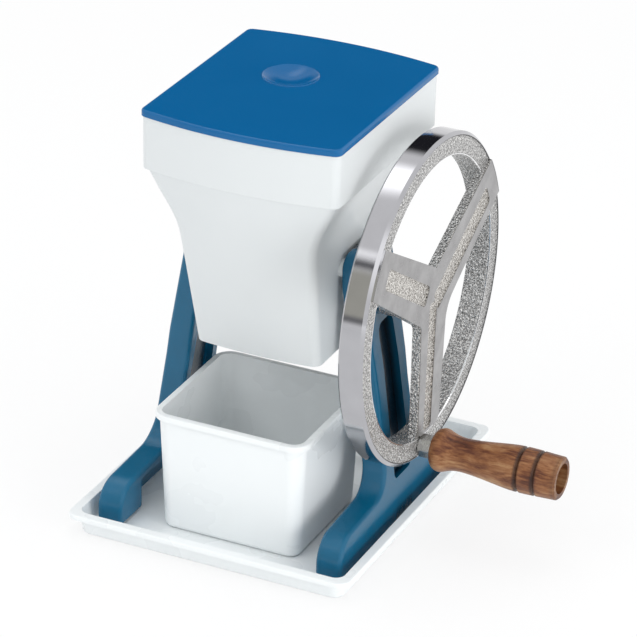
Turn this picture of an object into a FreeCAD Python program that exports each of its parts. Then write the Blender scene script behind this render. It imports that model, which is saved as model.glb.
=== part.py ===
import FreeCAD, Part
import math
import os

# Hand cranked ice shaver in its drip tray, in millimetres.
# X points right, towards the crank wheel. Y points back and Z up.
# The origin is the middle of the tray's underside.

V = FreeCAD.Vector

# Drip tray
tray_side_room = 17.3
tray_half_length = 158.0
tray_height = 20.8
tray_wall = 2.5
tray_flange = 8.5
tray_flange_thickness = 2.2
tray_lip_drop = 4.4
tray_draft = 3.0
tray_corner = 11.0
tray_inner_corner = 9.0
tray_floor_round = 4.0
tray_rim_round = 1.4

# Ice bin, which stands on the tray floor between the frames
bin_half_width = 72.5
bin_half_length = 69.2
bin_middle_y = -49.3
bin_height = 111.7
bin_wall = 2.2
bin_rim_width = 3.5
bin_rim_drop = 5.0
bin_draft = 4.6
bin_corner = 13.0
bin_floor_round = 5.0
bin_rim_round = 1.5

# Axle line, shared by the frames, bushes, rotor and wheel
axle_height = 217.5
axle_radius = 8.0
bush_running_gap = 0.05
bush_wall = 4.0
bush_flange_overhang = 4.0
bush_flange_thickness = 2.0
thrust_washer_radius = 15.0
thrust_washer_thickness = 1.5
thrust_gap = 0.1
collar_radius = 12.5
collar_length = 6.0
collar_edge = 0.8
collar_screw_radius = 2.0
axle_chamfer = 1.0

# Side frames, each splayed from the hopper down to its rails, with an I section
frame_bottom = 4.5
frame_top = 257.0
frame_inner_top = 65.0
frame_inner_foot = 92.0
frame_thickness_top = 13.5
frame_thickness_foot = 23.5
inner_splay_top = 228.0
inner_splay_end = 35.0
outer_waist_height = 150.0
outer_waist_setback = 17.0
outer_splay_end = 30.0
splay_round = 60.0
upright_half_top = 36.0
upright_half_waist = 31.5
upright_half_root = 33.5
upright_waist_height = 125.0
upright_top_round = 14.0
upright_waist_round = 80.0
rail_front_room = 26.0
rail_back_room = 54.0
rail_root_height = 44.5
rail_end_height = 40.0
rail_root_round = 25.0
rail_end_round = 24.0
rail_toe_round = 6.0
rail_wall = 6.0
rail_flange = 6.0
rail_front_solid = 38.0
rail_back_solid = 34.0
frame_edge_round = 3.6
pocket_depth = 8.0
pocket_top = 190.0
pocket_bottom = 47.0
pocket_half_top = 14.5
pocket_half_bottom = 16.5
pocket_top_round = 9.0
pocket_bottom_round = 5.0
inner_pocket_depth = 6.0
inner_pocket_top = 172.0
inner_pocket_half_top = 18.0
inner_pocket_half_bottom = 23.0
inner_pocket_round = 15.0
frame_boss_radius = 22.0
wheel_boss_length = 25.0
collar_boss_radius = 17.0
collar_boss_length = 20.4
boss_chamfer = 1.0

# Rubber feet under the frames
foot_radius = 8.0
foot_recess = 3.0
foot_inset = 17.0

# Tie bar behind the bin
tie_inset = 24.0
tie_z = 20.0
tie_radius = 6.0
tie_end_radius = 4.0
tie_hole_gap = 0.1
tie_nut_flats = 13.0
tie_nut_thickness = 5.0
tie_thread_over = 1.0

# Hopper
hopper_bottom = 161.7
hopper_crease = 331.6
hopper_top = 378.6
hopper_wall = 3.0
hopper_half_bottom = 57.6
hopper_side_draft = 0.045
shoulder_height = 283.0
shoulder_slope = 0.44
shoulder_blend = 9.0
hopper_half_depth_bottom = 59.5
hopper_half_depth_crease = 99.0
hopper_bow_bottom = 4.0
hopper_bow_top = 10.5
hopper_corner = 8.0
hopper_corner_follow = 0.7
loft_degree = 3
hopper_sections = 12
collar_step = 0.9
collar_side_step = 3.0
collar_flare = 0.2
pad_radius = 20.0
screw_pad_radius = 8.0

# Hopper screws, which clamp frame, hopper and trough
hopper_screw_y = 25.0
hopper_screw_z = 242.0
hopper_screw_radius = 2.5
hopper_screw_head_radius = 4.6
hopper_screw_head = 3.6
hopper_screw_seat_depth = 5.0
hopper_screw_seat_gap = 0.6
hopper_screw_over = 0.5
screw_hole_gap = 0.1

# Lid
lid_overhang = 0.9
lid_thickness = 5.7
lid_plate = 3.0
lid_corner = 7.0
lid_edge_round = 2.2
lid_lip_drop = 6.0
lid_lip_wall = 2.0
lid_lip_gap = 0.6
lid_lip_inner_round = 4.0
dish_x = -11.5
dish_y = 21.0
dish_radius = 23.0
dish_depth = 7.3
dish_lip_radius = 0.8

# Shaving trough, rotor and blade
trough_radius = 46.0
trough_wall = 3.0
trough_half_length = 54.5
trough_end_wall = 5.0
trough_wing_y = 75.0
trough_wing_z = 251.0
trough_slot_y = -11.0
trough_axle_gap = 1.5
trough_wing_lean = 0.5
trough_seat_front = 18.0
trough_seat_over = 2.0
trough_seat_low = 28.0
trough_seat_high = 10.0
trough_seat_inner = 20.0
trough_seat_round = 2.0
trough_seat_low_round = 4.0
blade_reach = 0.6
blade_edge_angle = 30.0
blade_width = 22.3
blade_thickness = 1.6
blade_bevel = 3.3
blade_half_length = 47.0
clamp_width = 16.0
clamp_thickness = 5.0
clamp_front_round = 2.0
clamp_back_round = 1.0
blade_screw_spacing = 32.0
blade_screw_radius = 2.0
blade_screw_head_radius = 3.6
blade_screw_head = 2.4
blade_screw_depth = 7.0
rotor_hub_radius = 15.0
rotor_paddle_gap = 1.6
rotor_end_gap = 1.5
rotor_paddles = 3
paddle_tip_width = 5.0
paddle_tip_round = 1.2
paddle_root_width = 9.0
paddle_root_round = 4.0
rotor_pin_radius = 2.5

# Crank wheel
wheel_radius = 144.4
rim_width = 19.6
wheel_back = 113.1
wheel_face = 134.1
rim_lip = 0.6
rim_bevel = 2.8
rim_back_edge = 1.8
rim_inner_edge = 0.8
spoke_thickness = 6.0
spoke_half_width = 26.4
spoke_taper = 2.05
spoke_raise = 2.5
spoke_count = 3
spoke_angle = 268.2
window_hub_corners = (28.0, 3.0, 10.0)
window_rim_corner = 4.0
rib_depth = 6.0
rib_half_width = 5.0
wheel_hub_radius = 21.0
spider_middle_radius = 42.0
crank_plate_gap = 3.8
crank_plate_corner = 9.0
axle_cover = 6.6
key_width = 5.0
key_length = 18.0
key_sink = 2.5
key_end_gap = 1.0
set_screw_radius = 3.0
set_screw_x = 103.0
recess_depth = 1.0
recess_corner = 4.0
crank_recess = (0.0, 5.8, 7.8, -3.0)
rear_recess = (0.0, 2.8, 10.0, -3.3)
front_recess = (19.0, 4.8, 9.0, 0.0)

# Crank bolt and grip
bolt_angle = 264.5
bolt_inset = 11.4
bolt_radius = 5.0
bolt_sink = 13.0
bolt_hex_flats = 18.0
bolt_hex_length = 12.4
bolt_hex_edge = 1.2
bolt_hex_turned_radius = 10.08
bolt_seat_radius = 11.0
grip_gap = 0.25
grip_running_gap = 0.06
grip_end = 263.7
grip_flare_radius = 19.0
grip_waist_radius = 14.9
grip_barrel_radius = 19.7
grip_end_radius = 18.9
grip_butt_radius = 13.0
grip_flare_places = (3.0, 8.0, 14.0)
grip_flare_drop = 1.7
grip_waist_places = (23.0, 33.0)
grip_waist_swell = 0.1
grip_swell_place = 59.0
grip_swell = 0.5
grip_barrel_place = 76.0
grip_barrel_inset = 22.0
grip_end_round = 1.5
grip_recess_radius = 13.3
grip_recess_depth = 20.0
grip_groove_insets = (35.6, 19.8)
grip_groove_width = 3.6
grip_groove_depth = 1.5
grip_washer_radius = 10.0
grip_washer_thickness = 1.3
grip_nut_flats = 15.0
grip_nut_thickness = 6.0
grip_bolt_over = 2.0

# Places that follow from the sizes above
tray_floor = tray_wall
bin_rim_z = tray_floor + bin_height
bush_radius = axle_radius + bush_running_gap + bush_wall
wheel_boss_face = frame_inner_top + wheel_boss_length
collar_boss_face = frame_inner_top + collar_boss_length
seat_stack = bush_flange_thickness + thrust_washer_thickness + thrust_gap
hub_back = wheel_boss_face + seat_stack
collar_start = collar_boss_face + seat_stack
axle_left = -(collar_start + collar_length)
axle_right = wheel_face - axle_cover
frame_outer_top = frame_inner_top + frame_thickness_top
frame_outer_foot = frame_inner_foot + frame_thickness_foot
tray_half_width = frame_outer_foot + tray_side_room
rail_front = -(tray_half_length - rail_front_room)
rail_back = tray_half_length - rail_back_room
tie_y = rail_back - tie_inset
foot_places = (rail_front + foot_inset, rail_back - foot_inset)
rim_inner_radius = wheel_radius - rim_width
crank_plate_end = rim_inner_radius - crank_plate_gap
spoke_back = wheel_face - spoke_thickness
plate_face = wheel_face + spoke_raise
blade_edge_radius = trough_radius - blade_reach
blade_edge_y = -blade_edge_radius * math.sin(math.radians(blade_edge_angle))
blade_top = axle_height - blade_edge_radius * math.cos(math.radians(blade_edge_angle))
blade_screw_y = blade_edge_y - blade_width + clamp_width / 2
bolt_circle = wheel_radius - bolt_inset
bolt_y = bolt_circle * math.cos(math.radians(bolt_angle))
bolt_z = axle_height + bolt_circle * math.sin(math.radians(bolt_angle))
grip_start = wheel_face + bolt_hex_length + grip_gap


def plan(z):
    """Map outline points (x, y) to the level z."""
    return lambda u, v: V(u, v, z)


def side(x):
    """Map outline points (y, z) to the upright plane at x."""
    return lambda u, v: V(x, u, v)


def front(y):
    """Map outline points (x, z) to the upright plane at y."""
    return lambda u, v: V(u, y, v)


def arc(start, middle, end):
    return Part.Arc(start, middle, end).toShape()


def rounded_wire(corners, place):
    """Closed wire through corners (u, v, radius), each rounded by a tangent arc."""
    starts = []
    middles = []
    ends = []
    count = len(corners)
    for i, (u, v, radius) in enumerate(corners):
        here = V(u, v, 0)
        to_last = V(corners[i - 1][0], corners[i - 1][1], 0) - here
        after = corners[(i + 1) % count]
        to_next = V(after[0], after[1], 0) - here
        to_last.normalize()
        to_next.normalize()
        half = to_last.getAngle(to_next) / 2
        reach = radius / math.tan(half)
        bisector = to_last + to_next
        bisector.normalize()
        starts.append(here + to_last * reach)
        ends.append(here + to_next * reach)
        middles.append(here + bisector * (radius / math.sin(half) - radius))
    edges = []
    for i in range(count):
        if corners[i][2] > 0:
            edges.append(arc(*(place(p.x, p.y) for p in (starts[i], middles[i], ends[i]))))
        after = starts[(i + 1) % count]
        if ends[i].distanceToPoint(after) > 1e-4:
            first = place(ends[i].x, ends[i].y)
            edges.append(Part.makeLine(first, place(after.x, after.y)))
    return Part.Wire(edges)


def prism(corners, place, along):
    """Solid of a rounded outline pushed along a vector."""
    return Part.Face(rounded_wire(corners, place)).extrude(along)


def rectangle(half_u, half_v, radius, middle=(0, 0)):
    """Four equally rounded corners around a middle point."""
    u, v = middle
    signs = ((-1, -1), (1, -1), (1, 1), (-1, 1))
    return [(u + s * half_u, v + t * half_v, radius) for s, t in signs]


def rod(x0, x1, radius, y=0.0, z=axle_height):
    """Cylinder along X."""
    return Part.makeCylinder(radius, x1 - x0, V(x0, y, z), V(1, 0, 0))


def hexagon(x0, x1, flats, y, z):
    """Hexagonal bar along X, two flats level."""
    corner = flats / math.sqrt(3)
    points = []
    for i in range(6):
        turn = math.radians(60 * i)
        points.append((y + corner * math.cos(turn), z + corner * math.sin(turn), 0))
    return prism(points, side(x0), V(x1 - x0, 0, 0))


def about_axle(shape, degrees):
    """Copy of a shape turned about the axle line."""
    copy = shape.copy()
    copy.rotate(V(0, 0, axle_height), V(1, 0, 0), degrees)
    return copy


def mirrored(shape):
    """Copy of a shape on the other side, left for right."""
    return shape.mirror(V(0, 0, 0), V(1, 0, 0))


def pair(shape):
    """A shape and its mirror image."""
    return [shape, mirrored(shape)]


def tapered(half_x, half_y, radius, draft, z0, z1, middle=(0, 0)):
    """Drafted block with rounded corners, its sizes given at the top."""
    low = rectangle(half_x - draft, half_y - draft, radius - draft / 2, middle)
    high = rectangle(half_x, half_y, radius, middle)
    wires = [rounded_wire(low, plan(z0)), rounded_wire(high, plan(z1))]
    return Part.makeLoft(wires, True, True)


def edges_at(shape, z):
    """Edges that lie level at height z."""
    found = []
    for edge in shape.Edges:
        box = edge.BoundBox
        if abs(box.ZMin - z) < 1e-3 and abs(box.ZMax - z) < 1e-3:
            found.append(edge)
    return found


def edges_along_x(shape):
    """Straight edges parallel to the axle."""
    found = []
    for edge in shape.Edges:
        box = edge.BoundBox
        if box.YLength < 1e-3 and box.ZLength < 1e-3:
            found.append(edge)
    return found


def drip_tray():
    top_x = tray_half_width - tray_flange
    top_y = tray_half_length - tray_flange
    inside = tapered(top_x, top_y, tray_inner_corner, tray_draft, tray_floor, tray_height)
    inside = inside.makeFillet(tray_floor_round, edges_at(inside, tray_floor))
    body = tapered(top_x + tray_wall, top_y + tray_wall, tray_inner_corner + tray_wall,
                   tray_draft, 0, tray_height - tray_flange_thickness / 2)
    body = body.makeFillet(tray_wall, edges_at(body, 0))
    flange_outline = rectangle(tray_half_width, tray_half_length, tray_corner)
    rim = prism(flange_outline, plan(tray_height - tray_lip_drop), V(0, 0, tray_lip_drop))
    rim = rim.makeFillet(tray_rim_round, edges_at(rim, tray_height))
    under_outline = rectangle(tray_half_width - tray_flange_thickness,
                              tray_half_length - tray_flange_thickness,
                              tray_corner - tray_flange_thickness)
    under = prism(under_outline, plan(0), V(0, 0, tray_height - tray_flange_thickness))
    return rim.cut(under).fuse(body).cut(inside).removeSplitter()


def ice_bin():
    middle = (0, bin_middle_y)
    body_x = bin_half_width - bin_rim_width
    body_y = bin_half_length - bin_rim_width
    body = tapered(body_x, body_y, bin_corner, bin_draft, tray_floor, bin_rim_z, middle)
    body = body.makeFillet(bin_floor_round, edges_at(body, tray_floor))
    inside = tapered(body_x - bin_wall, body_y - bin_wall, bin_corner - bin_wall,
                     bin_draft, tray_floor + bin_wall, bin_rim_z, middle)
    inside = inside.makeFillet(bin_floor_round, edges_at(inside, tray_floor + bin_wall))
    rim_outline = rectangle(bin_half_width, bin_half_length, bin_corner + bin_rim_width, middle)
    rim = prism(rim_outline, plan(bin_rim_z - bin_rim_drop), V(0, 0, bin_rim_drop))
    rim = rim.makeFillet(bin_rim_round, edges_at(rim, bin_rim_z))
    under_outline = rectangle(bin_half_width - bin_wall, bin_half_length - bin_wall,
                              bin_corner + bin_rim_width - bin_wall, middle)
    under = prism(under_outline, plan(tray_floor), V(0, 0, bin_height - bin_wall))
    return rim.cut(under).fuse(body).cut(inside).removeSplitter()


def frame_outline():
    """Side view of a frame, (y, z, radius): an upright on a front and a back rail."""
    def half(sign, rail_end):
        return [(sign * upright_half_top, frame_top, upright_top_round),
                (sign * upright_half_waist, upright_waist_height, upright_waist_round),
                (sign * upright_half_root, rail_root_height, rail_root_round),
                (rail_end, rail_end_height, rail_end_round),
                (rail_end, frame_bottom, rail_toe_round)]
    return half(1, rail_back) + list(reversed(half(-1, rail_front)))


def across_frame(corners):
    """Solid of a front view outline, reaching past both rail ends."""
    return prism(corners, front(2 * rail_front), V(0, 4 * rail_back, 0))


def side_frame(boss_face, boss_radius):
    """Frame on the wheel's side, with its outer boss ending at boss_face."""
    top = frame_top + 1
    low = frame_bottom - 1
    far = 2 * frame_outer_foot
    inner = [(frame_inner_top, top, 0), (frame_inner_top, inner_splay_top, splay_round),
             (frame_inner_foot, inner_splay_end, splay_round), (frame_inner_foot, low, 0)]
    outer = [(frame_outer_foot, low, 0), (frame_outer_foot, outer_splay_end, splay_round),
             (frame_outer_foot - outer_waist_setback, outer_waist_height, splay_round),
             (frame_outer_top, top, 0)]
    outline = prism(frame_outline(), side(0), V(far, 0, 0))
    body = outline.common(across_frame(inner + outer))
    body = body.makeFillet(frame_edge_round, [e for e in body.Edges if lies_on_edge(e)])

    floor = [(x - pocket_depth, z, radius) for x, z, radius in outer]
    outside = across_frame(floor + [(far, top, 0), (far, low, 0)])
    pocket = prism([(-pocket_half_top, pocket_top, pocket_top_round),
                    (pocket_half_top, pocket_top, pocket_top_round),
                    (pocket_half_bottom, pocket_bottom, pocket_bottom_round),
                    (-pocket_half_bottom, pocket_bottom, pocket_bottom_round)],
                   side(0), V(far, 0, 0))
    body = body.cut(pocket.common(outside))
    floor = [(x + inner_pocket_depth, z, radius) for x, z, radius in inner]
    inside = across_frame(floor + [(0, low, 0), (0, top, 0)])
    arch = prism([(-inner_pocket_half_top, inner_pocket_top, inner_pocket_round),
                  (inner_pocket_half_top, inner_pocket_top, inner_pocket_round),
                  (inner_pocket_half_bottom, pocket_bottom, pocket_bottom_round),
                  (-inner_pocket_half_bottom, pocket_bottom, pocket_bottom_round)],
                 side(0), V(far, 0, 0))
    body = body.cut(arch.common(inside))
    hollow_start = rail_front + rail_front_solid
    hollow = Part.makeBox(frame_outer_foot - rail_wall, rail_back - rail_back_solid - hollow_start,
                          rail_end_height - rail_flange - low, V(0, hollow_start, low))
    body = body.cut(hollow)

    body = body.fuse(rod(frame_inner_top, wheel_boss_face - wheel_boss_length / 2,
                         frame_boss_radius))
    boss = rod(frame_inner_top, boss_face, boss_radius)
    boss = boss.makeChamfer(boss_chamfer, [e for e in boss.Edges if e.BoundBox.XMin > boss_face - 1])
    body = body.fuse(boss)
    body = body.cut(rod(boss_face, far, boss_radius))
    body = body.cut(rod(0, far, bush_radius))
    for y in (-hopper_screw_y, hopper_screw_y):
        hole = hopper_screw_radius + screw_hole_gap
        body = body.cut(rod(0, far, hole, y, hopper_screw_z))
        seat = frame_outer_top - hopper_screw_seat_depth
        body = body.cut(rod(seat, far, hopper_screw_head_radius + hopper_screw_seat_gap, y,
                            hopper_screw_z))
    body = body.cut(rod(0, far, tie_end_radius + tie_hole_gap, tie_y, tie_z))
    for y in foot_places:
        middle = (frame_inner_foot + frame_outer_foot) / 2
        body = body.cut(Part.makeCylinder(foot_radius, foot_recess, V(middle, y, frame_bottom)))
    return body.removeSplitter()


def lies_on_edge(edge):
    """True for the frame's long outer edges, which are rounded."""
    box = edge.BoundBox
    return box.YLength > 0.01 or box.ZLength > 0.01


def hopper_half_width(z):
    rise = z - shoulder_height
    shoulder = (rise + math.sqrt(rise * rise + shoulder_blend * shoulder_blend)) / 2
    return hopper_half_bottom + hopper_side_draft * (z - hopper_bottom) + shoulder_slope * shoulder


def hopper_share(z):
    """0 at the hopper's bottom, 1 at the crease."""
    return (z - hopper_bottom) / (hopper_crease - hopper_bottom)


def hopper_half_depth(z):
    spread = hopper_half_depth_crease - hopper_half_depth_bottom
    return hopper_half_depth_bottom + spread * hopper_share(z)


def hopper_bow(z):
    return hopper_bow_bottom + (hopper_bow_top - hopper_bow_bottom) * min(hopper_share(z), 1)


def bowed_wire(half_x, half_y, bow, corner, z):
    """Plan outline with straight sides, a bowed front and back and round corners."""
    big = (half_x * half_x + bow * bow) / (2 * bow)
    big_y = half_y + bow - big
    corner_x = half_x - corner
    corner_y = big_y + math.sqrt((big - corner) ** 2 - corner_x ** 2)
    away = V(corner_x, corner_y - big_y, 0)
    away.normalize()
    on_bow = V(0, big_y, 0) + away * big
    bisector = V(1, 0, 0) + away
    bisector.normalize()
    on_corner = V(corner_x, corner_y, 0) + bisector * corner

    def at(x, y):
        return V(x, y, z)

    edges = []
    for s in (1, -1):
        edges.append(Part.makeLine(at(s * half_x, -s * corner_y), at(s * half_x, s * corner_y)))
        edges.append(arc(at(s * half_x, s * corner_y), at(s * on_corner.x, s * on_corner.y),
                         at(s * on_bow.x, s * on_bow.y)))
        edges.append(arc(at(s * on_bow.x, s * on_bow.y), at(0, s * (half_y + bow)),
                         at(-s * on_bow.x, s * on_bow.y)))
        edges.append(arc(at(-s * on_bow.x, s * on_bow.y), at(-s * on_corner.x, s * on_corner.y),
                         at(-s * half_x, s * corner_y)))
    return Part.Wire(edges)


def hopper_levels():
    """Evenly spaced heights of the lower body's sections."""
    step = (hopper_crease - hopper_bottom) / hopper_sections
    return [hopper_bottom + step * i for i in range(hopper_sections + 1)]


def collar_half_width(inset):
    """Collar's half width at the crease, outside or drawn in to the inner wall."""
    step = collar_step if inset else collar_side_step
    return hopper_half_width(hopper_crease) + step - inset


def hopper_body(inset, bottom, top):
    """Hopper form drawn in by an inset, from the bottom to the top."""
    corner = hopper_corner - inset * hopper_corner_follow
    wires = []
    for z in hopper_levels():
        wires.append(bowed_wire(hopper_half_width(z) - inset, hopper_half_depth(z) - inset,
                                hopper_bow(z), corner, z))
    lower = Part.makeLoft(wires, True, False, False, loft_degree)
    half_x = collar_half_width(inset)
    half_y = hopper_half_depth_crease + collar_step - inset
    low = bowed_wire(half_x, half_y, hopper_bow_top, corner, hopper_crease)
    high = bowed_wire(half_x + collar_flare, half_y + collar_flare, hopper_bow_top, corner, top)
    solids = [lower, Part.makeLoft([low, high], True, True)]
    if bottom < hopper_bottom:
        base = bowed_wire(hopper_half_bottom - inset, hopper_half_depth_bottom - inset,
                          hopper_bow_bottom, corner, hopper_bottom)
        solids.append(Part.Face(base).extrude(V(0, 0, bottom - hopper_bottom)))
    return solids


def hopper():
    lower, collar = hopper_body(0, hopper_bottom, hopper_top)
    body = lower.fuse(collar)
    for inner in hopper_body(hopper_wall, hopper_bottom - 1, hopper_top + 1):
        body = body.cut(inner)
    pads = []
    outside = rod(trough_half_length, frame_inner_top, pad_radius)
    pads.append(outside)
    for y in (-hopper_screw_y, hopper_screw_y):
        pads.append(rod(trough_half_length, frame_inner_top, screw_pad_radius, y, hopper_screw_z))
    for pad in pads:
        for one in pair(pad):
            body = body.fuse(one)
    body = body.cut(rod(-frame_inner_top, frame_inner_top, axle_radius + trough_axle_gap))
    for y in (-hopper_screw_y, hopper_screw_y):
        hole = hopper_screw_radius + screw_hole_gap
        body = body.cut(rod(-frame_inner_top, frame_inner_top, hole, y, hopper_screw_z))
    return body.removeSplitter()


def hopper_screws():
    solids = []
    for y in (-hopper_screw_y, hopper_screw_y):
        seat = frame_outer_top - hopper_screw_seat_depth
        tip = trough_half_length - trough_end_wall + hopper_screw_over
        screw = rod(tip, seat + hopper_screw_head / 2, hopper_screw_radius, y, hopper_screw_z)
        head = rod(seat, seat + hopper_screw_head, hopper_screw_head_radius, y, hopper_screw_z)
        solids += pair(screw.fuse(head).removeSplitter())
    return Part.makeCompound(solids)


def hopper_lid():
    half_x = collar_half_width(0) + collar_flare + lid_overhang
    half_y = hopper_half_depth_crease + collar_step + collar_flare + lid_overhang
    top = hopper_top + lid_thickness
    outline = bowed_wire(half_x, half_y, hopper_bow_top, lid_corner, hopper_top)
    body = Part.Face(outline).extrude(V(0, 0, lid_thickness))
    body = body.makeFillet(lid_edge_round, edges_at(body, top))
    mouth_x = collar_half_width(hopper_wall) + collar_flare - lid_lip_gap
    mouth_y = half_y - lid_overhang - hopper_wall - lid_lip_gap
    corner = hopper_corner - hopper_wall
    plate_low = top - lid_plate
    lip = Part.Face(bowed_wire(mouth_x, mouth_y, hopper_bow_top, corner, hopper_top - lid_lip_drop))
    body = body.fuse(lip.extrude(V(0, 0, lid_lip_drop + lid_thickness / 2)))
    hollow = Part.Face(bowed_wire(mouth_x - lid_lip_wall, mouth_y - lid_lip_wall, hopper_bow_top,
                                  lid_lip_inner_round, hopper_top - lid_lip_drop))
    body = body.cut(hollow.extrude(V(0, 0, plate_low - hopper_top + lid_lip_drop)))
    ball = (dish_radius ** 2 + dish_depth ** 2) / (2 * dish_depth)
    middle = V(dish_x, dish_y, top - dish_depth + ball)
    cap = Part.makeSphere(ball + lid_plate, middle)
    slab = Part.makeCylinder(2 * dish_radius, dish_depth + lid_plate + 1,
                             V(dish_x, dish_y, top - 1 - dish_depth - lid_plate))
    body = body.fuse(cap.common(slab))
    ring = Part.makeTorus(dish_radius + dish_lip_radius, dish_lip_radius, V(dish_x, dish_y, top))
    body = body.fuse(ring)
    return body.cut(Part.makeSphere(ball, middle)).removeSplitter()


def shaving_trough():
    long_x = trough_half_length
    short_x = trough_half_length - trough_end_wall
    outer = trough_radius + trough_wall
    wings = [(-outer, axle_height - 1, 0), (-trough_wing_y, trough_wing_z, 0),
             (trough_wing_y, trough_wing_z, 0), (outer, axle_height - 1, 0)]
    body = rod(-long_x, long_x, outer)
    body = body.cut(Part.makeBox(4 * long_x, 4 * outer, 2 * outer,
                                 V(-2 * long_x, -2 * outer, axle_height)))
    body = body.fuse(prism(wings, side(-long_x), V(2 * long_x, 0, 0)))
    seat_back = blade_edge_y - blade_width - trough_seat_over
    seat = [(-trough_seat_front, blade_top, 0), (seat_back, blade_top, trough_seat_round),
            (-outer - trough_seat_over, axle_height - trough_seat_low, trough_seat_low_round),
            (-outer + trough_seat_over, axle_height - trough_seat_high, 0),
            (-trough_seat_inner, axle_height - trough_seat_inner, 0)]
    body = body.fuse(prism(seat, side(-short_x), V(2 * short_x, 0, 0)))
    lean = trough_wall + trough_wing_lean
    hollow = [(-trough_radius, axle_height, 0),
              (-trough_wing_y + lean, trough_wing_z + 1, 0),
              (trough_wing_y - lean, trough_wing_z + 1, 0), (trough_radius, axle_height, 0)]
    body = body.cut(rod(-short_x, short_x, trough_radius))
    body = body.cut(prism(hollow, side(-short_x), V(2 * short_x, 0, 0)))
    slot = [(-2 * outer, blade_top, 0), (trough_slot_y, blade_top, 0),
            (trough_slot_y, axle_height - 2 * outer, 0), (-2 * outer, axle_height - 2 * outer, 0)]
    body = body.cut(prism(slot, side(-short_x), V(2 * short_x, 0, 0)))
    body = body.cut(rod(-long_x, long_x, axle_radius + trough_axle_gap))
    for y in (-hopper_screw_y, hopper_screw_y):
        hole = hopper_screw_radius + screw_hole_gap / 2
        body = body.cut(rod(-long_x, long_x, hole, y, hopper_screw_z))
    for x in blade_screw_places():
        hole = blade_screw_radius + screw_hole_gap / 2
        body = body.cut(Part.makeCylinder(hole, blade_screw_depth + 0.5,
                                          V(x, blade_screw_y, blade_top)))
    return body.removeSplitter()


def blade_screw_places():
    return (-blade_screw_spacing, 0, blade_screw_spacing)


def with_blade_holes(body):
    """A plate of the blade pack with its three screw holes."""
    for x in blade_screw_places():
        low = body.BoundBox.ZMin - 1
        body = body.cut(Part.makeCylinder(blade_screw_radius + screw_hole_gap, 20,
                                          V(x, blade_screw_y, low)))
    return body


def blade():
    back = blade_edge_y - blade_width
    low = blade_top - blade_thickness
    section = [(blade_edge_y, blade_top, 0), (back, blade_top, 0), (back, low, 0),
               (blade_edge_y - blade_bevel, low, 0)]
    return with_blade_holes(prism(section, side(-blade_half_length),
                                  V(2 * blade_half_length, 0, 0)))


def blade_clamp():
    back = blade_edge_y - blade_width
    top = blade_top - blade_thickness
    low = top - clamp_thickness
    section = [(back, top, 0), (back + clamp_width, top, 0),
               (back + clamp_width, low, clamp_front_round), (back, low, clamp_back_round)]
    return with_blade_holes(prism(section, side(-blade_half_length),
                                  V(2 * blade_half_length, 0, 0)))


def blade_screws():
    solids = []
    seat = blade_top - blade_thickness - clamp_thickness
    for x in blade_screw_places():
        shank = Part.makeCylinder(blade_screw_radius, blade_top + blade_screw_depth - seat,
                                  V(x, blade_screw_y, seat))
        head = Part.makeCylinder(blade_screw_head_radius, blade_screw_head,
                                 V(x, blade_screw_y, seat - blade_screw_head))
        solids.append(shank.fuse(head).removeSplitter())
    return Part.makeCompound(solids)


def rotor():
    half = trough_half_length - trough_end_wall - rotor_end_gap
    tip = trough_radius - rotor_paddle_gap
    tip_z = axle_height + math.sqrt(tip * tip - paddle_tip_width * paddle_tip_width / 4)
    paddle = [(-paddle_root_width / 2, axle_height, 0),
              (-paddle_tip_width / 2, tip_z, paddle_tip_round),
              (paddle_tip_width / 2, tip_z, paddle_tip_round),
              (paddle_root_width / 2, axle_height, 0)]
    body = rod(-half, half, rotor_hub_radius)
    for i in range(rotor_paddles):
        one = prism(paddle, side(-half), V(2 * half, 0, 0))
        body = body.fuse(about_axle(one, 360 / rotor_paddles * i))
    body = body.removeSplitter()
    roots = []
    for edge in edges_along_x(body):
        start = edge.Vertexes[0].Point
        reach = math.hypot(start.y, start.z - axle_height)
        if abs(reach - rotor_hub_radius) < 0.01:
            roots.append(edge)
    body = body.makeFillet(paddle_root_round, roots)
    body = body.cut(rod(-half, half, axle_radius))
    return body.cut(rotor_pin()).removeSplitter()


def rotor_pin():
    """Cross pin through the hub and the axle, between two paddles."""
    turn = math.radians(180 / rotor_paddles)
    along = V(0, math.cos(turn), math.sin(turn))
    half = rotor_hub_radius - 0.5
    start = V(0, 0, axle_height) - along * half
    return Part.makeCylinder(rotor_pin_radius, 2 * half, start, along)


def key():
    start = axle_right - key_length - key_end_gap
    return Part.makeBox(key_length, key_width, key_width,
                        V(start, -key_width / 2, axle_height + axle_radius - key_sink))


def axle():
    body = rod(axle_left, axle_right, axle_radius)
    ends = [e for e in body.Edges if e.BoundBox.XLength < 1e-3]
    body = body.makeChamfer(axle_chamfer, ends)
    return body.cut(rotor_pin()).cut(key()).removeSplitter()


def bush(boss_face):
    """Flanged bush of the wheel's side, for a boss that ends at boss_face."""
    face = boss_face + bush_flange_thickness
    body = rod(frame_inner_top, boss_face, bush_radius)
    body = body.fuse(rod(boss_face, face, bush_radius + bush_flange_overhang))
    return body.cut(rod(0, 2 * face, axle_radius + bush_running_gap)).removeSplitter()


def thrust_washer(boss_face):
    start = boss_face + bush_flange_thickness
    body = rod(start, start + thrust_washer_thickness, thrust_washer_radius)
    return body.cut(rod(0, 2 * boss_face, axle_radius + bush_running_gap))


def axle_collar():
    body = rod(axle_left, -collar_start, collar_radius)
    body = body.makeChamfer(collar_edge, [e for e in body.Edges if e.BoundBox.XLength < 1e-3])
    body = body.cut(rod(axle_left, -collar_start, axle_radius))
    return body.cut(collar_screw()).removeSplitter()


def collar_screw():
    middle = axle_left + collar_length / 2
    return Part.makeCylinder(collar_screw_radius, collar_radius - axle_radius - collar_edge,
                             V(middle, 0, axle_height + axle_radius))


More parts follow.
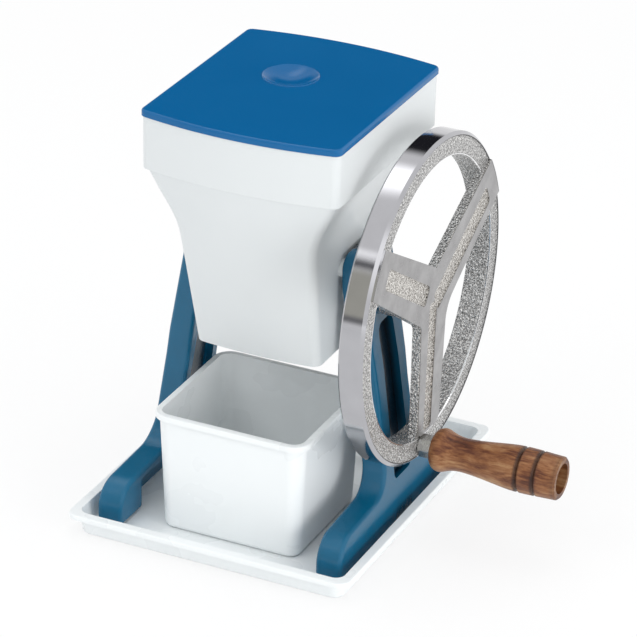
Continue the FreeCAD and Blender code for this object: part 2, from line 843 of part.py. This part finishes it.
def wheel_set_screw():
    """Set screw of the wheel hub, square to the key."""
    return Part.makeCylinder(set_screw_radius, wheel_hub_radius - axle_radius - key_end_gap,
                             V(set_screw_x, axle_radius, axle_height), V(0, 1, 0))


def spoke_angles():
    return [spoke_angle + 360 / spoke_count * i for i in range(spoke_count)]


def spoke_plate(angle, x0, x1, reach, corner=0.0):
    """Spoke from the axle outward, a little narrower at its end."""
    end = spoke_half_width - reach * math.tan(math.radians(spoke_taper))
    outline = [(0, axle_height - spoke_half_width, 0), (reach, axle_height - end, corner),
               (reach, axle_height + end, corner), (0, axle_height + spoke_half_width, 0)]
    return about_axle(prism(outline, side(x0), V(x1 - x0, 0, 0)), angle)


def spoke_band(angle, x0, x1, start, reach, half_width, offset=0.0, corner=0.0):
    """Band of even width along one spoke, beside its middle line by an offset."""
    middle = ((start + reach) / 2, axle_height + offset)
    outline = rectangle((reach - start) / 2, half_width, corner, middle)
    return about_axle(prism(outline, side(x0), V(x1 - x0, 0, 0)), angle)


def wheel_windows():
    """The three openings, each with its own corner at the hub."""
    low = wheel_back - 1
    high = plate_face + 1
    disc = rod(low, high, rim_inner_radius)
    for angle in spoke_angles():
        disc = disc.cut(spoke_plate(angle, low - 1, high + 1, wheel_radius))
    windows = []
    for angle, hub_corner in zip(spoke_angles(), window_hub_corners):
        middle = angle + 180 / spoke_count
        half = spoke_band(middle, low, high, 0, wheel_radius, wheel_radius)
        other = spoke_band(middle, low, high, -wheel_radius, 0, wheel_radius)
        window = max(disc.common(half).cut(other).Solids, key=lambda one: one.Volume)
        near = [e for e in edges_along_x(window) if from_axle(e) < rim_inner_radius / 2]
        window = window.makeFillet(hub_corner, near)
        far = [e for e in edges_along_x(window) if from_axle(e) > rim_inner_radius - 1]
        windows.append(window.makeFillet(window_rim_corner, far))
    return windows


def from_axle(edge):
    point = edge.Vertexes[0].Point
    return math.hypot(point.y, point.z - axle_height)


def wheel_rim():
    r = wheel_radius
    lip = wheel_face + rim_lip
    section = [(wheel_back, rim_inner_radius, rim_inner_edge), (wheel_back, r - rim_back_edge, 0),
               (wheel_back + rim_back_edge, r, 0), (lip - rim_bevel, r, 0), (lip, r - rim_bevel, 0),
               (wheel_face, r - rim_bevel - rim_lip, 0),
               (wheel_face, rim_inner_radius, rim_inner_edge)]
    outline = [(x, axle_height + radius, bend) for x, radius, bend in section]
    face = Part.Face(rounded_wire(outline, front(0)))
    return face.revolve(V(0, 0, axle_height), V(1, 0, 0), 360)


def crank_wheel():
    crank, rear, forward = spoke_angles()
    body = rod(spoke_back, wheel_face, rim_inner_radius + 1)
    body = body.fuse(rod(wheel_face - 1, plate_face, spider_middle_radius))
    body = body.fuse(spoke_plate(crank, wheel_face - 1, plate_face, crank_plate_end,
                                 crank_plate_corner))
    edge = rod(wheel_back, plate_face, wheel_radius - rim_bevel)
    for angle in (rear, forward):
        plate = spoke_plate(angle, wheel_face - 1, plate_face, wheel_radius)
        body = body.fuse(plate.common(edge))
    for window in wheel_windows():
        body = body.cut(window)
    body = body.fuse(wheel_rim())
    for angle in spoke_angles():
        rib = spoke_band(angle, spoke_back - rib_depth, spoke_back + 1, 0, rim_inner_radius + 1,
                         rib_half_width)
        body = body.fuse(rib)
    body = body.fuse(rod(hub_back, spoke_back + 1, wheel_hub_radius))
    body = body.cut(rod(hub_back, axle_right, axle_radius))
    body = body.cut(key_slot()).cut(wheel_set_screw())
    recesses = zip((crank, rear, forward), (crank_recess, rear_recess, front_recess))
    for angle, (start, rim_gap, half_width, offset) in recesses:
        body = body.cut(spoke_band(angle, plate_face - recess_depth, plate_face + 1, start,
                                   rim_inner_radius - rim_gap, half_width, offset, recess_corner))
    body = body.cut(rod(wheel_face, plate_face, bolt_seat_radius, bolt_y, bolt_z))
    body = body.cut(rod(wheel_face - bolt_sink, plate_face, bolt_radius, bolt_y, bolt_z))
    return body.removeSplitter()


def key_slot():
    """Slot for the key, open at the back of the hub."""
    end = axle_right - key_end_gap
    return Part.makeBox(end - hub_back, key_width, key_width,
                        V(hub_back, -key_width / 2, axle_height + axle_radius - key_sink))


def crank_bolt():
    floor = grip_end - grip_recess_depth
    end = floor + thrust_gap + grip_washer_thickness + grip_nut_thickness + grip_bolt_over
    body = rod(wheel_face - bolt_sink, end, bolt_radius, bolt_y, bolt_z)
    collar = hexagon(wheel_face, wheel_face + bolt_hex_length, bolt_hex_flats, bolt_y, bolt_z)
    turned = rod(wheel_face, wheel_face + bolt_hex_length, bolt_hex_turned_radius, bolt_y, bolt_z)
    ends = [e for e in turned.Edges if e.BoundBox.XLength < 1e-3]
    collar = collar.common(turned.makeChamfer(bolt_hex_edge, ends))
    return body.fuse(collar).removeSplitter()


def grip_nut():
    low = grip_end - grip_recess_depth + thrust_gap + grip_washer_thickness
    body = hexagon(low, low + grip_nut_thickness, grip_nut_flats, bolt_y, bolt_z)
    return body.cut(rod(low, low + grip_nut_thickness, bolt_radius, bolt_y, bolt_z))


def grip_washer():
    low = grip_end - grip_recess_depth + thrust_gap
    body = rod(low, low + grip_washer_thickness, grip_washer_radius, bolt_y, bolt_z)
    return body.cut(rod(low, low + grip_washer_thickness, bolt_radius, bolt_y, bolt_z))


def grip():
    """Turned wooden grip: flare, waist, swelling barrel, two grooves and an end recess."""
    start = grip_start
    rise, flare, fall = (start + place for place in grip_flare_places)
    waist_start, waist_end = (start + place for place in grip_waist_places)
    turned = [(start, grip_butt_radius), (rise, grip_flare_radius - grip_flare_drop),
              (flare, grip_flare_radius), (fall, grip_flare_radius - grip_flare_drop),
              (waist_start, grip_waist_radius + grip_waist_swell), (waist_end, grip_waist_radius),
              (start + grip_swell_place, (grip_waist_radius + grip_barrel_radius) / 2 + grip_swell),
              (start + grip_barrel_place, grip_barrel_radius),
              (grip_end - grip_barrel_inset, grip_barrel_radius),
              (grip_end - grip_end_round, grip_end_radius)]
    points = [V(x, bolt_y, bolt_z + radius) for x, radius in turned]
    curve = Part.BSplineCurve()
    curve.interpolate(points)
    corner = V(grip_end, bolt_y, bolt_z + grip_end_radius - grip_end_round)
    low_end = V(grip_end, bolt_y, bolt_z)
    low_start = V(start, bolt_y, bolt_z)
    edges = [curve.toShape(), Part.makeLine(points[-1], corner), Part.makeLine(corner, low_end),
             Part.makeLine(low_end, low_start), Part.makeLine(low_start, points[0])]
    body = Part.Face(Part.Wire(edges)).revolve(low_start, V(1, 0, 0), 360)
    for inset in grip_groove_insets:
        body = body.cut(grip_groove(grip_end - inset))
    bore = bolt_radius + grip_running_gap
    body = body.cut(rod(start - 1, grip_end, bore, bolt_y, bolt_z))
    recess = rod(grip_end - grip_recess_depth, grip_end + 1, grip_recess_radius, bolt_y, bolt_z)
    return body.cut(recess).removeSplitter()


def grip_groove(x):
    """Ring that cuts one V groove with a rounded bottom."""
    top = bolt_z + grip_barrel_radius + 1
    half = grip_groove_width / 2 * (1 + 1 / grip_groove_depth)
    section = [(x - half, top, 0), (x + half, top, 0),
               (x, top - 1 - grip_groove_depth, grip_groove_depth / 3)]
    face = Part.Face(rounded_wire(section, front(bolt_y)))
    return face.revolve(V(x, bolt_y, bolt_z), V(1, 0, 0), 360)


def tie_bar():
    half = frame_outer_foot + tie_nut_thickness + tie_thread_over
    body = rod(-frame_inner_foot, frame_inner_foot, tie_radius, tie_y, tie_z)
    ends = rod(-half, half, tie_end_radius, tie_y, tie_z)
    return body.fuse(ends).removeSplitter()


def tie_nuts():
    low = frame_outer_foot
    nut = hexagon(low, low + tie_nut_thickness, tie_nut_flats, tie_y, tie_z)
    nut = nut.cut(rod(low, low + tie_nut_thickness, tie_end_radius, tie_y, tie_z))
    return Part.makeCompound(pair(nut))


def rubber_feet():
    middle = (frame_inner_foot + frame_outer_foot) / 2
    solids = []
    for y in foot_places:
        foot = Part.makeCylinder(foot_radius, frame_bottom + foot_recess - tray_floor,
                                 V(middle, y, tray_floor))
        solids += pair(foot)
    return Part.makeCompound(solids)


def save(name, shape):
    """Write one sub-part and print its size, so that a slip shows at once."""
    box = shape.BoundBox
    print(f"{name}: {len(shape.Solids)} solids, valid {shape.isValid()}, "
          f"volume {shape.Volume:.0f}, x {box.XMin:.1f} to {box.XMax:.1f}, "
          f"y {box.YMin:.1f} to {box.YMax:.1f}, z {box.ZMin:.1f} to {box.ZMax:.1f}")
    shape.exportStep(f"parts/{name}.step")


os.makedirs("parts", exist_ok=True)
save("drip_tray", drip_tray())
save("ice_bin", ice_bin())
save("frame_right", side_frame(wheel_boss_face, frame_boss_radius))
save("frame_left", mirrored(side_frame(collar_boss_face, collar_boss_radius)))
save("rubber_feet", rubber_feet())
save("tie_bar", tie_bar())
save("tie_bar_nuts", tie_nuts())
save("hopper", hopper())
save("hopper_screws", hopper_screws())
save("hopper_lid", hopper_lid())
save("shaving_trough", shaving_trough())
save("blade", blade())
save("blade_clamp", blade_clamp())
save("blade_screws", blade_screws())
save("rotor", rotor())
save("rotor_pin", rotor_pin())
save("axle", axle())
save("axle_key", key())
save("bearing_bush_right", bush(wheel_boss_face))
save("bearing_bush_left", mirrored(bush(collar_boss_face)))
save("thrust_washers", Part.makeCompound([thrust_washer(wheel_boss_face),
                                          mirrored(thrust_washer(collar_boss_face))]))
save("axle_collar", axle_collar())
save("collar_set_screw", collar_screw())
save("crank_wheel", crank_wheel())
save("wheel_set_screw", wheel_set_screw())
save("crank_bolt", crank_bolt())
save("grip", grip())
save("grip_washer", grip_washer())
save("grip_nut", grip_nut())
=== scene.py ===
import math

import bpy
from mathutils import Matrix, Vector

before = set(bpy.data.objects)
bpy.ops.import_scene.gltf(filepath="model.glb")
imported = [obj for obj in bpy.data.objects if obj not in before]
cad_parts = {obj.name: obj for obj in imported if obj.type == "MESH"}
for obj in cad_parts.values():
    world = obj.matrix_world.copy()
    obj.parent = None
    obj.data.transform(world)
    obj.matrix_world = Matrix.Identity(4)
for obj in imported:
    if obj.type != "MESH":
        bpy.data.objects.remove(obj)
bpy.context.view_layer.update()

# Sizes and places of the machine, in metres
axle_height = 0.2175
wheel_radius = 0.1444
rim_width = 0.0196
rim_bevel = 0.0028
rim_inner = wheel_radius - rim_width
band_edge = wheel_radius - rim_bevel

# Faces of the wheel, along X: raised spokes, their sunk fields, and the face of the rim
plate_face = 0.1366
recess_depth = 0.0010
spoke_raise = 0.0025
recess_floor = plate_face - recess_depth
wheel_face = plate_face - spoke_raise

# The frames' outer pockets, whose enamel gets painted shade; their floors lean outward towards
# the feet
pocket_floor = 0.0905
pocket_middle_height = 0.15
pocket_lean = 0.16
pocket_half_width = 0.0175
pocket_side_fade = 0.0025
pocket_floor_fade = 0.006

# The grip's axis, its free end and the grooves round it
bolt_circle = 0.133
bolt_angle = math.radians(264.5)
grip_y = bolt_circle * math.cos(bolt_angle)
grip_z = axle_height + bolt_circle * math.sin(bolt_angle)
grip_end = 0.2637
grooves = (grip_end - 0.0356, grip_end - 0.0198)
groove_half_width = 0.0034


class Socket:
    """A value in a material; sums, products and abs of such values add their Math nodes."""

    def __init__(self, paint, link):
        self.paint = paint
        self.link = link

    def __add__(self, other):
        return self.paint.math("ADD", self, other)

    def __radd__(self, other):
        return self.paint.math("ADD", other, self)

    def __sub__(self, other):
        return self.paint.math("SUBTRACT", self, other)

    def __rsub__(self, other):
        return self.paint.math("SUBTRACT", other, self)

    def __mul__(self, other):
        return self.paint.math("MULTIPLY", self, other)

    def __rmul__(self, other):
        return self.paint.math("MULTIPLY", other, self)

    def __abs__(self):
        return self.paint.math("ABSOLUTE", self)


class Paint:
    """One material, or the world, while its nodes are put together."""

    def __init__(self, name, holder=None):
        self.material = holder or bpy.data.materials.new(name)
        self.material.use_nodes = True
        self.tree = self.material.node_tree
        self.tree.nodes.clear()

    def feed(self, place, value):
        if isinstance(value, Socket):
            self.tree.links.new(value.link, place)
        else:
            place.default_value = value

    def node(self, kind, settings=None, sockets=None, output=0):
        """A node of any kind: its settings are set first, then its sockets."""
        made = self.tree.nodes.new("ShaderNode" + kind)
        for name, value in (settings or {}).items():
            if name == "stops":
                set_stops(made.color_ramp, value)
            else:
                setattr(made, name, value)
        for name, value in (sockets or {}).items():
            self.feed(made.inputs[name], value)
        return Socket(self, made.outputs[output]) if made.outputs else None

    def math(self, operation, *values):
        return self.node("Math", {"operation": operation}, dict(enumerate(values)))

    def larger(self, first, second):
        return self.math("MAXIMUM", first, second)

    def split(self, vector):
        """The X, Y and Z of a position."""
        parts = self.node("SeparateXYZ", {}, {"Vector": vector}).link.node
        return [Socket(self, one) for one in parts.outputs]

    def place(self):
        """Position on the piece, in metres, which turns with it."""
        return self.node("TexCoord", output="Object")

    def noise(self, scale, detail=3.0, roughness=0.5, where=None, output=0):
        sockets = {"Vector": where or self.place(), "Scale": scale, "Detail": detail,
                   "Roughness": roughness}
        return self.node("TexNoise", {}, sockets, output)

    def stretched(self, along, across, where=None):
        """Position scaled differently along X and across it."""
        return self.node("Mapping", {}, {"Vector": where or self.place(),
                                         "Scale": (along, across, across)})

    def ramp(self, value, stops):
        return self.node("ValToRGB", {"stops": stops}, {"Fac": value})

    def band(self, value, low, high):
        """0 below low, 1 above high, smooth between."""
        return self.node("MapRange", {"interpolation_type": "SMOOTHSTEP", "clamp": True},
                         {"Value": value, "From Min": low, "From Max": high})

    def mix(self, factor, first, second):
        """Colour between two colours."""
        return self.node("Mix", {"data_type": "RGBA"}, {0: factor, 6: first, 7: second}, 2)

    def bump(self, height, distance):
        return self.node("Bump", {}, {"Height": height, "Distance": distance})

    def close(self, shader, kind="OutputMaterial"):
        """Puts the shader on the material's, or the world's, output."""
        self.node(kind, {}, {"Surface": shader})

    def finish(self, sockets):
        """Closes the material with a Principled shader."""
        self.close(self.node("BsdfPrincipled", {}, sockets))
        return self.material


def set_stops(ramp, stops):
    """Colour stops, each a place from 0 to 1 and a colour."""
    while len(ramp.elements) < len(stops):
        ramp.elements.new(0.5)
    for element, (where, colour) in zip(ramp.elements, stops):
        element.position = where
        element.color = (*colour, 1.0)


def dress(material, *nodes):
    """Gives CAD nodes their finished material."""
    for name in nodes:
        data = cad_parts[name].data
        data.materials.clear()
        data.materials.append(material)


def white_plastic(name, tone, roughness, grain):
    """Moulded white plastic with a faint skin texture."""
    paint = Paint(name)
    clouds = paint.noise(14, 3)
    skin = paint.noise(2200, 2)
    base = paint.mix(clouds, (tone - 0.05, tone - 0.015, tone, 1),
                     (tone, tone + 0.03, tone + 0.035, 1))
    return paint.finish({"Base Color": base, "Roughness": roughness + 0.08 * clouds,
                         "IOR": 1.46, "Normal": paint.bump(skin, grain)})


def blue_plastic():
    """Gloss blue moulding of the lid."""
    paint = Paint("lid_blue_gloss")
    clouds = paint.noise(11, 2)
    skin = paint.noise(1300, 2)
    base = paint.mix(clouds, (0.000, 0.108, 0.300, 1), (0.000, 0.124, 0.335, 1))
    return paint.finish({"Base Color": base, "Roughness": 0.13 + 0.05 * clouds, "IOR": 1.47,
                         "Specular IOR Level": 0.40, "Normal": paint.bump(skin, 0.00004)})


def blue_enamel():
    """Thick blue enamel over the rough cast frames, with painted shade darkening the pockets."""
    paint = Paint("frame_blue_enamel")
    clouds = paint.noise(30, 4)
    flow = paint.noise(160, 3)
    fine = paint.noise(900, 2)
    open_blue = paint.mix(clouds, (0.000, 0.096, 0.190, 1), (0.002, 0.122, 0.240, 1))
    x, y, z = paint.split(paint.place())
    # Painted shade: the pocket floors are darkened to near black, as if they lay in shadow.
    upright = abs(x) + (z - pocket_middle_height) * pocket_lean
    inside = 1 - paint.band(abs(y), pocket_half_width - pocket_side_fade, pocket_half_width)
    pocket_shade = inside * (1 - paint.band(upright, pocket_floor, pocket_floor + pocket_floor_fade))
    base = paint.mix(pocket_shade * 0.9, open_blue, (0.001, 0.010, 0.022, 1))
    bumps = flow + 0.25 * fine
    return paint.finish({"Base Color": base, "Roughness": 0.17 + 0.14 * clouds, "IOR": 1.5,
                         "Specular IOR Level": 0.45, "Normal": paint.bump(bumps, 0.00030)})


def wheel_zones(paint):
    """Masks of the mirror band, spoke faces, sunk fields, the painted shadow line at the rim
    step, and the worn inner edge.
    """
    x, y, z = paint.split(paint.place())
    height = z - axle_height
    radius = paint.math("SQRT", y * y + height * height)
    band = paint.band(radius, band_edge - 0.0003, band_edge - 0.0001)
    plate = paint.band(x, recess_floor + 0.0003, recess_floor + 0.0006)
    field = paint.band(x, wheel_face + 0.0011, wheel_face + 0.0013) - plate
    # Painted shadow: a thin ring just inside the rim's bevel is darkened, as if the step shaded
    # it.
    step_shadow = paint.band(radius, band_edge - 0.0012, band_edge - 0.0009) - band
    ring = (paint.band(radius, rim_inner - 0.0005, rim_inner)
            - paint.band(radius, rim_inner + 0.0007, rim_inner + 0.0011))
    worn = ring * (paint.band(x, wheel_face - 0.0012, wheel_face - 0.0008)
                   - paint.band(x, wheel_face + 0.0002, wheel_face + 0.0004))
    return band, plate, field, step_shadow, worn


def plated_casting():
    """Plated wheel: mirror band, sparkling cast face and walls, smooth raised spoke faces, and a
    painted shadow line at the rim step.
    """
    paint = Paint("wheel_plated_casting")
    band, plate, field, step_shadow, worn = wheel_zones(paint)
    grains = paint.node("TexVoronoi", {"feature": "F1"},
                        {"Vector": paint.place(), "Scale": 560, "Randomness": 1.0})
    pits = paint.noise(640, 3, 0.7)
    clouds = paint.noise(45, 4)
    streaks = paint.noise(160, 3, 0.6)
    cast = paint.ramp(pits, [(0.34, (0.17, 0.168, 0.165)), (0.50, (0.52, 0.515, 0.51)),
                             (0.62, (0.96, 0.955, 0.94))])
    warm = paint.ramp(pits, [(0.36, (0.12, 0.11, 0.10)), (0.48, (0.60, 0.57, 0.53)),
                             (0.58, (0.98, 0.96, 0.92))])
    satin = paint.mix(paint.band(clouds + streaks * 0.3, 0.40, 0.95), (0.31, 0.305, 0.308, 1),
                      (0.45, 0.445, 0.447, 1))
    bright = paint.mix(clouds, (0.42, 0.42, 0.44, 1), (0.50, 0.50, 0.525, 1))
    base = paint.mix(field, cast, warm)
    base = paint.mix(plate, base, satin)
    base = paint.mix(band, base, bright)
    base = paint.mix(worn, base, (0.90, 0.90, 0.91, 1))
    # Painted shadow line along the rim step.
    base = paint.mix(step_shadow * 0.85, base, (0.06, 0.06, 0.062, 1))
    smooth = paint.larger(paint.larger(band, plate), worn)
    roughness = 0.25 * (1 - smooth) + (0.22 + 0.14 * clouds) * plate * (1 - band) + 0.08 * band
    height = (grains * 1.2 + pits * 1.3) * (1 - smooth) + streaks * 0.05 * plate
    return paint.finish({"Base Color": base, "Metallic": 1.0, "Roughness": roughness,
                         "Normal": paint.bump(height, 0.0012)})


def steel(name, tone, roughness):
    """Machined steel with fine turning marks."""
    paint = Paint(name)
    marks = paint.noise(900, 2, where=paint.stretched(4.0, 0.3))
    clouds = paint.noise(60, 3)
    base = paint.mix(clouds, (tone, tone, tone * 0.98, 1),
                     (tone * 0.8, tone * 0.8, tone * 0.78, 1))
    return paint.finish({"Base Color": base, "Metallic": 1.0,
                         "Roughness": roughness + 0.12 * marks,
                         "Normal": paint.bump(marks, 0.00004)})


def bronze():
    """Sintered bronze of the bushes."""
    paint = Paint("bush_sintered_bronze")
    pores = paint.noise(1400, 2)
    base = paint.mix(pores, (0.42, 0.24, 0.09, 1), (0.60, 0.38, 0.17, 1))
    return paint.finish({"Base Color": base, "Metallic": 1.0, "Roughness": 0.42,
                         "Normal": paint.bump(pores, 0.00005)})


def cast_aluminium():
    """Cast trough and rotor with a sand grain."""
    paint = Paint("inner_cast_aluminium")
    grain = paint.noise(1100, 3)
    base = paint.mix(grain, (0.50, 0.50, 0.49, 1), (0.68, 0.68, 0.67, 1))
    return paint.finish({"Base Color": base, "Metallic": 1.0, "Roughness": 0.40 + 0.1 * grain,
                         "Normal": paint.bump(grain, 0.00015)})


def turned_wood():
    """Oiled brown wood, its grain along the grip, darker in the grooves and at the free end."""
    paint = Paint("grip_turned_wood")
    where = paint.node("Mapping", {}, {"Vector": paint.place(),
                                       "Location": (0, -grip_y, -grip_z)})
    warp = paint.noise(26, 3, where=where, output="Color")
    bent = paint.node("VectorMath", {"operation": "MULTIPLY_ADD"},
                      {0: warp, 1: (0.012, 0.012, 0.012), 2: where})
    fibres = paint.noise(340, 4, 0.6, where=paint.stretched(0.10, 1.0, bent))
    mottle = paint.noise(70, 4, 0.6, where=paint.stretched(0.45, 1.0, where))
    pores = paint.noise(900, 2, 0.5, where=paint.stretched(0.12, 1.0, bent))
    x = paint.split(paint.place())[0]
    # The grooves and the last few millimetres of the free end are darkened.
    rings = [1 - paint.band(abs(x - middle), 0.0010, groove_half_width) for middle in grooves]
    rim = 0.35 * paint.band(x, grip_end - 0.006, grip_end - 0.001)
    groove_and_end_darkening = paint.larger(0.75 * paint.larger(*rings), rim)
    tone = fibres * 0.50 + mottle * 0.70
    wood = paint.ramp(tone, [(0.36, (0.030, 0.007, 0.002)), (0.50, (0.110, 0.030, 0.010)),
                             (0.62, (0.250, 0.098, 0.034)), (0.80, (0.430, 0.240, 0.110))])
    base = paint.mix(groove_and_end_darkening, wood, (0.012, 0.004, 0.002, 1))
    return paint.finish({"Base Color": base, "Roughness": 0.28 + 0.25 * mottle, "IOR": 1.45,
                         "Normal": paint.bump(fibres * 0.5 + pores, 0.00030)})


def rubber():
    """Black rubber of the feet."""
    paint = Paint("foot_rubber")
    specks = paint.noise(900, 2)
    base = paint.mix(specks, (0.012, 0.012, 0.013, 1), (0.03, 0.03, 0.03, 1))
    return paint.finish({"Base Color": base, "Roughness": 0.75,
                         "Normal": paint.bump(specks, 0.0001)})


def dress_nodes():
    """Every CAD node of the machine gets its finish."""
    dress(white_plastic("hopper_white_satin", 0.75, 0.32, 0.00008), "hopper")
    dress(white_plastic("tray_white_gloss", 0.91, 0.24, 0.00002), "drip_tray", "ice_bin")
    dress(blue_plastic(), "hopper_lid")
    dress(blue_enamel(), "frame_left", "frame_right")
    dress(plated_casting(), "crank_wheel")
    dress(steel("bright_steel", 0.62, 0.22), "crank_bolt", "grip_washer", "grip_nut", "tie_bar",
          "tie_bar_nuts", "hopper_screws", "axle", "axle_key", "thrust_washers", "axle_collar",
          "rotor_pin", "blade_clamp", "blade_screws")
    dress(steel("black_steel", 0.06, 0.35), "collar_set_screw", "wheel_set_screw")
    dress(steel("ground_blade_steel", 0.72, 0.14), "blade")
    dress(bronze(), "bearing_bush_left", "bearing_bush_right")
    dress(cast_aluminium(), "shaving_trough", "rotor")
    dress(turned_wood(), "grip")
    dress(rubber(), "rubber_feet")


def add_camera():
    """Camera as the photograph was taken, from the front right and above."""
    data = bpy.data.cameras.new("camera")
    data.lens = 203.4
    data.sensor_width = 36.0
    data.sensor_fit = "HORIZONTAL"
    data.clip_end = 20.0
    camera = bpy.data.objects.new("camera", data)
    right = Vector((0.90405, 0.42683, 0.02258))
    up = Vector((-0.20925, 0.39591, 0.89413))
    turn = Matrix((right, up, right.cross(up))).transposed().to_4x4()
    place = (1.17775, -2.50552, 1.55354)
    camera.matrix_world = Matrix.Translation(place) @ turn
    bpy.context.scene.collection.objects.link(camera)
    bpy.context.scene.camera = camera


def towards_machine(place):
    """Turn of a lamp or board at a place, so that it faces the machine."""
    machine_middle = Vector((0, 0, 0.2))
    return (machine_middle - Vector(place)).to_track_quat("-Z", "Y").to_euler()


def lamp(name, place, size, power):
    """Square soft lamp, which polished surfaces don't mirror; they mirror the boards."""
    data = bpy.data.lights.new(name, "AREA")
    data.shape = "SQUARE"
    data.size = size
    data.energy = power
    one = bpy.data.objects.new(name, data)
    one.location = place
    one.rotation_euler = towards_machine(place)
    one.visible_glossy = False
    bpy.context.scene.collection.objects.link(one)


def flat_card(name, half_x, half_y):
    """Flat rectangle about its own middle."""
    data = bpy.data.meshes.new(name)
    data.from_pydata([(-half_x, -half_y, 0), (half_x, -half_y, 0), (half_x, half_y, 0),
                      (-half_x, half_y, 0)], [], [(0, 1, 2, 3)])
    card = bpy.data.objects.new(name, data)
    bpy.context.scene.collection.objects.link(card)
    return card


def board(name, place, width, height, shade, soft):
    """Studio board that only polished surfaces mirror; soft is the faded share of its sides."""
    card = flat_card(name, width / 2, height / 2)
    card.location = place
    card.rotation_euler = towards_machine(place)
    card.visible_camera = card.visible_diffuse = card.visible_shadow = False
    card.visible_transmission = False
    paint = Paint(name)
    x, y = paint.split(paint.place())[:2]
    side = paint.band(width / 2 - abs(x), 0, width * soft)
    end = paint.band(height / 2 - abs(y), 0, height * soft)
    clear = paint.node("BsdfTransparent")
    glow = paint.node("Emission", {}, {"Color": (*shade, 1), "Strength": 1.0})
    paint.close(paint.node("MixShader", {}, {0: side * end, 1: clear, 2: glow}))
    card.data.materials.append(paint.material)


def add_lights():
    lamp("key_lamp", (-0.9, -1.6, 1.9), 1.1, 6)
    lamp("top_lamp", (0.1, 0.1, 2.4), 1.4, 6)
    lamp("side_lamp", (2.0, -0.6, 0.45), 1.0, 13)
    board("back_board", (-1.3, 2.4, 1.75), 3.6, 2.2, (0.02, 0.02, 0.025), 0.25)
    board("key_board", (-0.72, 0.50, 2.30), 1.8, 0.9, (2.6, 2.6, 2.6), 0.4)
    board("edge_board", (-0.9, -1.5, 1.95), 1.6, 0.35, (1.7, 1.7, 1.7), 0.5)
    board("front_board", (-0.9, -2.7, 1.2), 3.2, 2.1, (0.60, 0.59, 0.52), 0.2)
    board("upper_strip", (-0.87, -1.9, 1.85), 3.0, 0.40, (0.16, 0.16, 0.17), 0.5)
    board("lower_strip", (-0.87, -2.5, 0.40), 3.0, 0.36, (0.20, 0.20, 0.21), 0.5)
    board("side_board", (2.0, -0.4, 0.9), 1.3, 1.3, (1.6, 1.6, 1.6), 0.4)


def seen_directly(paint):
    """1 for what the camera sees straight on, in a reflection or through glass."""
    rays = [paint.node("LightPath", output=name)
            for name in ("Is Camera Ray", "Is Glossy Ray", "Is Transmission Ray")]
    return paint.larger(paint.larger(rays[0], rays[1]), rays[2])


def add_world():
    """Even white surroundings, dimmer where they only light the machine."""
    world = bpy.data.worlds.new("studio")
    bpy.context.scene.world = world
    paint = Paint("studio", world)
    strength = 0.92 + 0.08 * seen_directly(paint)
    shade = paint.node("Background", {}, {"Color": (1, 1, 1, 1), "Strength": strength})
    paint.close(shade, "OutputWorld")


def add_floor():
    """Plain white floor that keeps the machine's soft shadow."""
    floor = flat_card("floor", 6.0, 6.0)
    paint = Paint("floor_white")
    plain = paint.node("BsdfPrincipled", {}, {"Base Color": (0.93, 0.935, 0.94, 1),
                                              "Roughness": 0.9, "Specular IOR Level": 0.1})
    white = paint.node("Emission", {}, {"Color": (1, 1, 1, 1), "Strength": 1.0})
    paint.close(paint.node("MixShader", {}, {0: 0.7 * seen_directly(paint), 1: plain, 2: white}))
    floor.data.materials.append(paint.material)


dress_nodes()
add_floor()
add_lights()
add_world()
add_camera()
bpy.context.scene.view_settings.view_transform = "Standard"
